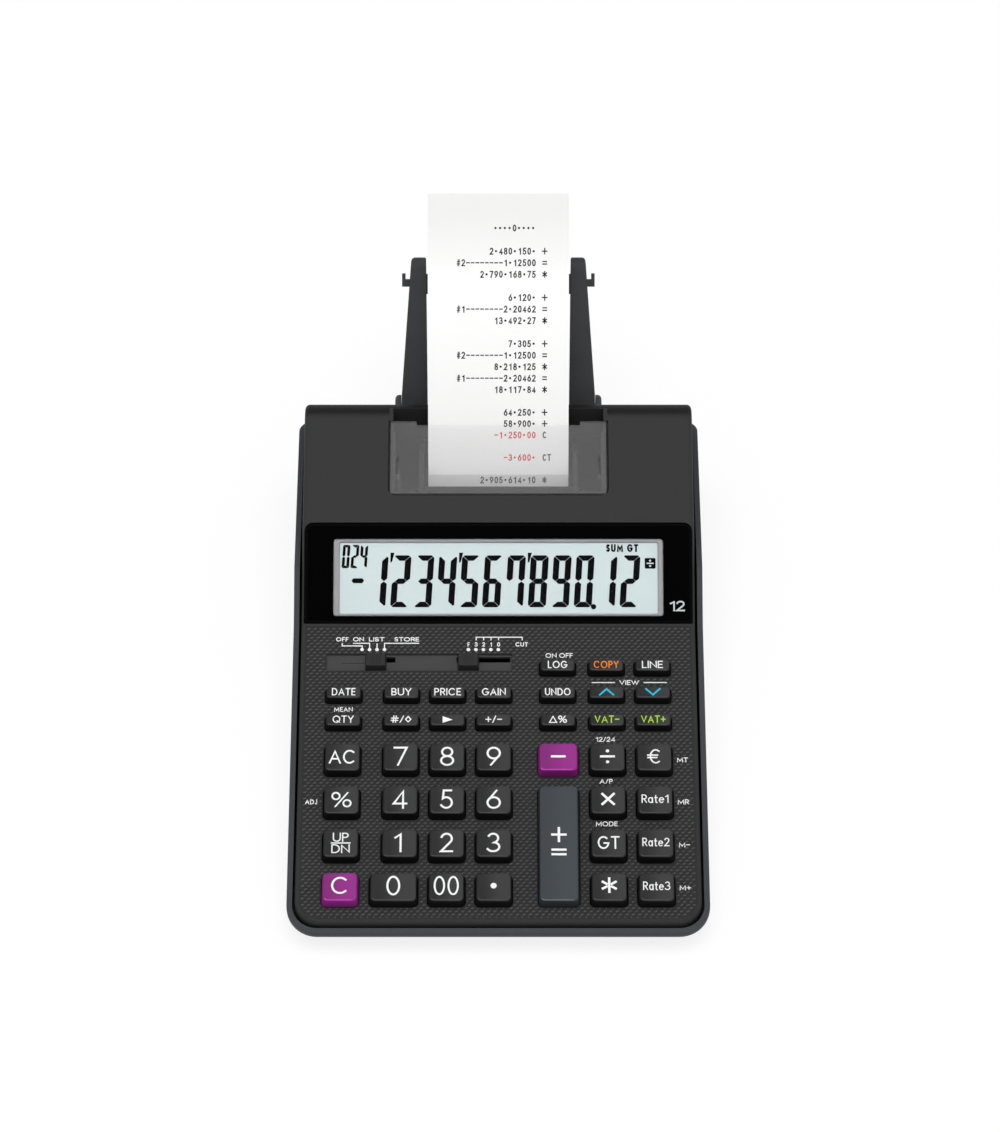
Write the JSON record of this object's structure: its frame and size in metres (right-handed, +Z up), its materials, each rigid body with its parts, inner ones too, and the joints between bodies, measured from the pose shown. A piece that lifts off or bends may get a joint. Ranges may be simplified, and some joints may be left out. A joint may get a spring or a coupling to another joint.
{
  "type": "printing desk calculator",
  "caption": "Printing desk calculator with a sloping keyboard, tilted display, smoky cover over its paper printer and rear arms that carry a paper roll.",
  "frame": {"origin": "on the table, under the middle of the overall length and width", "axes": "+Z up, +Y from the keyboard to the paper roll, +X to the user's right"},
  "size_m": [0.165, 0.3062, 0.1269],
  "materials": {
    "case_plastic": "fine matt moulding grain",
    "cover_plastic": "matt, key field embossed",
    "lens_plastic": "polished",
    "lcd_panel": "satin",
    "board_laminate": "lacquered",
    "mechanism_metal": "plated",
    "roller_rubber": "ground",
    "smoke_plastic": "clear smoke tint",
    "paper": "uncoated",
    "arm_plastic": "matt",
    "cell_jacket": "printed sleeve, plain",
    "foot_rubber": "moulded",
    "switch_plastic": "satin",
    "key_charcoal": "satin",
    "key_purple": "satin",
    "key_slate": "satin"
  },
  "bodies": {
    "body": {"bottom_case": "case_plastic", "top_cover": "cover_plastic", "display_lens": "lens_plastic", "lcd_module": "lcd_panel", "circuit_board": "board_laminate", "printer_frame": "mechanism_metal", "batteries": "cell_jacket", "rubber_feet": "foot_rubber", "paper_strip": "paper"},
    "printer_cover": {"printer_cover": "smoke_plastic"},
    "paper_arms": {"paper_arm_left": "arm_plastic", "paper_arm_right": "arm_plastic"},
    "paper_roll": {"paper_roll": "paper"},
    "feed_roller": {"feed_roller": "roller_rubber"},
    "battery_door": {"battery_door": "case_plastic"},
    "power_switch": {"power_switch": "switch_plastic"},
    "decimal_switch": {"decimal_switch": "switch_plastic"},
    "key_clear": {"key_clear": "key_purple"},
    "key_plus_equals": {"key_plus_equals": "key_slate"},
    "key_0": {"key_0": "key_charcoal"},
    "key_00": {"key_00": "key_charcoal"},
    "key_1": {"key_1": "key_charcoal"},
    "key_2": {"key_2": "key_charcoal"},
    "key_3": {"key_3": "key_charcoal"},
    "key_4": {"key_4": "key_charcoal"},
    "key_5": {"key_5": "key_charcoal"},
    "key_6": {"key_6": "key_charcoal"},
    "key_7": {"key_7": "key_charcoal"},
    "key_8": {"key_8": "key_charcoal"},
    "key_9": {"key_9": "key_charcoal"},
    "key_all_clear": {"key_all_clear": "key_charcoal"},
    "key_back_step": {"key_back_step": "key_charcoal"},
    "key_change": {"key_change": "key_charcoal"},
    "key_correct": {"key_correct": "key_charcoal"},
    "key_cost": {"key_cost": "key_charcoal"},
    "key_count": {"key_count": "key_charcoal"},
    "key_currency": {"key_currency": "key_charcoal"},
    "key_divide": {"key_divide": "key_charcoal"},
    "key_feed": {"key_feed": "key_charcoal"},
    "key_grand_total": {"key_grand_total": "key_charcoal"},
    "key_margin": {"key_margin": "key_charcoal"},
    "key_mark_up": {"key_mark_up": "key_charcoal"},
    "key_minus": {"key_minus": "key_purple"},
    "key_multiply": {"key_multiply": "key_charcoal"},
    "key_percent": {"key_percent": "key_charcoal"},
    "key_point": {"key_point": "key_charcoal"},
    "key_print": {"key_print": "key_charcoal"},
    "key_rate_1": {"key_rate_1": "key_charcoal"},
    "key_rate_2": {"key_rate_2": "key_charcoal"},
    "key_rate_3": {"key_rate_3": "key_charcoal"},
    "key_reprint": {"key_reprint": "key_charcoal"},
    "key_sell": {"key_sell": "key_charcoal"},
    "key_sign": {"key_sign": "key_charcoal"},
    "key_step_down": {"key_step_down": "key_charcoal"},
    "key_step_up": {"key_step_up": "key_charcoal"},
    "key_subtotal": {"key_subtotal": "key_charcoal"},
    "key_tax_minus": {"key_tax_minus": "key_charcoal"},
    "key_tax_plus": {"key_tax_plus": "key_charcoal"},
    "key_time": {"key_time": "key_charcoal"},
    "key_total": {"key_total": "key_charcoal"}
  },
  "joints": [
    {"name": "printer_cover_lift", "type": "slide", "parent": "body", "child": "printer_cover", "axis": [0, -0.225, 0.9744], "range_m": [0, 0.03]},
    {"name": "paper_arms_fold", "type": "hinge", "parent": "body", "child": "paper_arms", "pos_m": [0, 0.08939, 0.0406], "axis": [1, 0, 0], "range_deg": [-45, 0], "deforming": ["paper_strip"]},
    {"name": "paper_roll_spin", "type": "hinge", "parent": "paper_arms", "child": "paper_roll", "pos_m": [0, 0.12506, 0.07885], "axis": [1, 0, 0], "continuous": true},
    {"name": "feed_roller_spin", "type": "hinge", "parent": "body", "child": "feed_roller", "pos_m": [0, 0.05085, 0.03316], "axis": [1, 0, 0], "continuous": true},
    {"name": "battery_door_release", "type": "slide", "parent": "body", "child": "battery_door", "axis": [0, 0, -1], "range_m": [0, 0.012]},
    {"name": "power_switch_slide", "type": "slide", "parent": "body", "child": "power_switch", "axis": [1, 0, 0], "range_m": [-0.006, 0.003]},
    {"name": "decimal_switch_slide", "type": "slide", "parent": "body", "child": "decimal_switch", "axis": [1, 0, 0], "range_m": [0, 0.012]},
    {"name": "key_clear_press", "type": "slide", "parent": "body", "child": "key_clear", "axis": [0, 0.1478, -0.989], "range_m": [0, 0.0025], "stiffness_N_per_m": 240, "springref_m": -0.0012},
    {"name": "key_plus_equals_press", "type": "slide", "parent": "body", "child": "key_plus_equals", "axis": [0, 0.1478, -0.989], "range_m": [0, 0.0025], "stiffness_N_per_m": 240, "springref_m": -0.0012},
    {"name": "key_0_press", "type": "slide", "parent": "body", "child": "key_0", "axis": [0, 0.1478, -0.989], "range_m": [0, 0.0025], "stiffness_N_per_m": 240, "springref_m": -0.0012},
    {"name": "key_00_press", "type": "slide", "parent": "body", "child": "key_00", "axis": [0, 0.1478, -0.989], "range_m": [0, 0.0025], "stiffness_N_per_m": 240, "springref_m": -0.0012},
    {"name": "key_1_press", "type": "slide", "parent": "body", "child": "key_1", "axis": [0, 0.1478, -0.989], "range_m": [0, 0.0025], "stiffness_N_per_m": 240, "springref_m": -0.0012},
    {"name": "key_2_press", "type": "slide", "parent": "body", "child": "key_2", "axis": [0, 0.1478, -0.989], "range_m": [0, 0.0025], "stiffness_N_per_m": 240, "springref_m": -0.0012},
    {"name": "key_3_press", "type": "slide", "parent": "body", "child": "key_3", "axis": [0, 0.1478, -0.989], "range_m": [0, 0.0025], "stiffness_N_per_m": 240, "springref_m": -0.0012},
    {"name": "key_4_press", "type": "slide", "parent": "body", "child": "key_4", "axis": [0, 0.1478, -0.989], "range_m": [0, 0.0025], "stiffness_N_per_m": 240, "springref_m": -0.0012},
    {"name": "key_5_press", "type": "slide", "parent": "body", "child": "key_5", "axis": [0, 0.1478, -0.989], "range_m": [0, 0.0025], "stiffness_N_per_m": 240, "springref_m": -0.0012},
    {"name": "key_6_press", "type": "slide", "parent": "body", "child": "key_6", "axis": [0, 0.1478, -0.989], "range_m": [0, 0.0025], "stiffness_N_per_m": 240, "springref_m": -0.0012},
    {"name": "key_7_press", "type": "slide", "parent": "body", "child": "key_7", "axis": [0, 0.1478, -0.989], "range_m": [0, 0.0025], "stiffness_N_per_m": 240, "springref_m": -0.0012},
    {"name": "key_8_press", "type": "slide", "parent": "body", "child": "key_8", "axis": [0, 0.1478, -0.989], "range_m": [0, 0.0025], "stiffness_N_per_m": 240, "springref_m": -0.0012},
    {"name": "key_9_press", "type": "slide", "parent": "body", "child": "key_9", "axis": [0, 0.1478, -0.989], "range_m": [0, 0.0025], "stiffness_N_per_m": 240, "springref_m": -0.0012},
    {"name": "key_all_clear_press", "type": "slide", "parent": "body", "child": "key_all_clear", "axis": [0, 0.1478, -0.989], "range_m": [0, 0.0025], "stiffness_N_per_m": 240, "springref_m": -0.0012},
    {"name": "key_back_step_press", "type": "slide", "parent": "body", "child": "key_back_step", "axis": [0, 0.1478, -0.989], "range_m": [0, 0.0025], "stiffness_N_per_m": 240, "springref_m": -0.0012},
    {"name": "key_change_press", "type": "slide", "parent": "body", "child": "key_change", "axis": [0, 0.1478, -0.989], "range_m": [0, 0.0025], "stiffness_N_per_m": 240, "springref_m": -0.0012},
    {"name": "key_correct_press", "type": "slide", "parent": "body", "child": "key_correct", "axis": [0, 0.1478, -0.989], "range_m": [0, 0.0025], "stiffness_N_per_m": 240, "springref_m": -0.0012},
    {"name": "key_cost_press", "type": "slide", "parent": "body", "child": "key_cost", "axis": [0, 0.1478, -0.989], "range_m": [0, 0.0025], "stiffness_N_per_m": 240, "springref_m": -0.0012},
    {"name": "key_count_press", "type": "slide", "parent": "body", "child": "key_count", "axis": [0, 0.1478, -0.989], "range_m": [0, 0.0025], "stiffness_N_per_m": 240, "springref_m": -0.0012},
    {"name": "key_currency_press", "type": "slide", "parent": "body", "child": "key_currency", "axis": [0, 0.1478, -0.989], "range_m": [0, 0.0025], "stiffness_N_per_m": 240, "springref_m": -0.0012},
    {"name": "key_divide_press", "type": "slide", "parent": "body", "child": "key_divide", "axis": [0, 0.1478, -0.989], "range_m": [0, 0.0025], "stiffness_N_per_m": 240, "springref_m": -0.0012},
    {"name": "key_feed_press", "type": "slide", "parent": "body", "child": "key_feed", "axis": [0, 0.1478, -0.989], "range_m": [0, 0.0025], "stiffness_N_per_m": 240, "springref_m": -0.0012},
    {"name": "key_grand_total_press", "type": "slide", "parent": "body", "child": "key_grand_total", "axis": [0, 0.1478, -0.989], "range_m": [0, 0.0025], "stiffness_N_per_m": 240, "springref_m": -0.0012},
    {"name": "key_margin_press", "type": "slide", "parent": "body", "child": "key_margin", "axis": [0, 0.1478, -0.989], "range_m": [0, 0.0025], "stiffness_N_per_m": 240, "springref_m": -0.0012},
    {"name": "key_mark_up_press", "type": "slide", "parent": "body", "child": "key_mark_up", "axis": [0, 0.1478, -0.989], "range_m": [0, 0.0025], "stiffness_N_per_m": 240, "springref_m": -0.0012},
    {"name": "key_minus_press", "type": "slide", "parent": "body", "child": "key_minus", "axis": [0, 0.1478, -0.989], "range_m": [0, 0.0025], "stiffness_N_per_m": 240, "springref_m": -0.0012},
    {"name": "key_multiply_press", "type": "slide", "parent": "body", "child": "key_multiply", "axis": [0, 0.1478, -0.989], "range_m": [0, 0.0025], "stiffness_N_per_m": 240, "springref_m": -0.0012},
    {"name": "key_percent_press", "type": "slide", "parent": "body", "child": "key_percent", "axis": [0, 0.1478, -0.989], "range_m": [0, 0.0025], "stiffness_N_per_m": 240, "springref_m": -0.0012},
    {"name": "key_point_press", "type": "slide", "parent": "body", "child": "key_point", "axis": [0, 0.1478, -0.989], "range_m": [0, 0.0025], "stiffness_N_per_m": 240, "springref_m": -0.0012},
    {"name": "key_print_press", "type": "slide", "parent": "body", "child": "key_print", "axis": [0, 0.1478, -0.989], "range_m": [0, 0.0025], "stiffness_N_per_m": 240, "springref_m": -0.0012},
    {"name": "key_rate_1_press", "type": "slide", "parent": "body", "child": "key_rate_1", "axis": [0, 0.1478, -0.989], "range_m": [0, 0.0025], "stiffness_N_per_m": 240, "springref_m": -0.0012},
    {"name": "key_rate_2_press", "type": "slide", "parent": "body", "child": "key_rate_2", "axis": [0, 0.1478, -0.989], "range_m": [0, 0.0025], "stiffness_N_per_m": 240, "springref_m": -0.0012},
    {"name": "key_rate_3_press", "type": "slide", "parent": "body", "child": "key_rate_3", "axis": [0, 0.1478, -0.989], "range_m": [0, 0.0025], "stiffness_N_per_m": 240, "springref_m": -0.0012},
    {"name": "key_reprint_press", "type": "slide", "parent": "body", "child": "key_reprint", "axis": [0, 0.1478, -0.989], "range_m": [0, 0.0025], "stiffness_N_per_m": 240, "springref_m": -0.0012},
    {"name": "key_sell_press", "type": "slide", "parent": "body", "child": "key_sell", "axis": [0, 0.1478, -0.989], "range_m": [0, 0.0025], "stiffness_N_per_m": 240, "springref_m": -0.0012},
    {"name": "key_sign_press", "type": "slide", "parent": "body", "child": "key_sign", "axis": [0, 0.1478, -0.989], "range_m": [0, 0.0025], "stiffness_N_per_m": 240, "springref_m": -0.0012},
    {"name": "key_step_down_press", "type": "slide", "parent": "body", "child": "key_step_down", "axis": [0, 0.1478, -0.989], "range_m": [0, 0.0025], "stiffness_N_per_m": 240, "springref_m": -0.0012},
    {"name": "key_step_up_press", "type": "slide", "parent": "body", "child": "key_step_up", "axis": [0, 0.1478, -0.989], "range_m": [0, 0.0025], "stiffness_N_per_m": 240, "springref_m": -0.0012},
    {"name": "key_subtotal_press", "type": "slide", "parent": "body", "child": "key_subtotal", "axis": [0, 0.1478, -0.989], "range_m": [0, 0.0025], "stiffness_N_per_m": 240, "springref_m": -0.0012},
    {"name": "key_tax_minus_press", "type": "slide", "parent": "body", "child": "key_tax_minus", "axis": [0, 0.1478, -0.989], "range_m": [0, 0.0025], "stiffness_N_per_m": 240, "springref_m": -0.0012},
    {"name": "key_tax_plus_press", "type": "slide", "parent": "body", "child": "key_tax_plus", "axis": [0, 0.1478, -0.989], "range_m": [0, 0.0025], "stiffness_N_per_m": 240, "springref_m": -0.0012},
    {"name": "key_time_press", "type": "slide", "parent": "body", "child": "key_time", "axis": [0, 0.1478, -0.989], "range_m": [0, 0.0025], "stiffness_N_per_m": 240, "springref_m": -0.0012},
    {"name": "key_total_press", "type": "slide", "parent": "body", "child": "key_total", "axis": [0, 0.1478, -0.989], "range_m": [0, 0.0025], "stiffness_N_per_m": 240, "springref_m": -0.0012}
  ],
  "couplings": [
    {"joint": "feed_roller_spin", "follows": "paper_roll_spin", "ratio": 4}
  ]
}
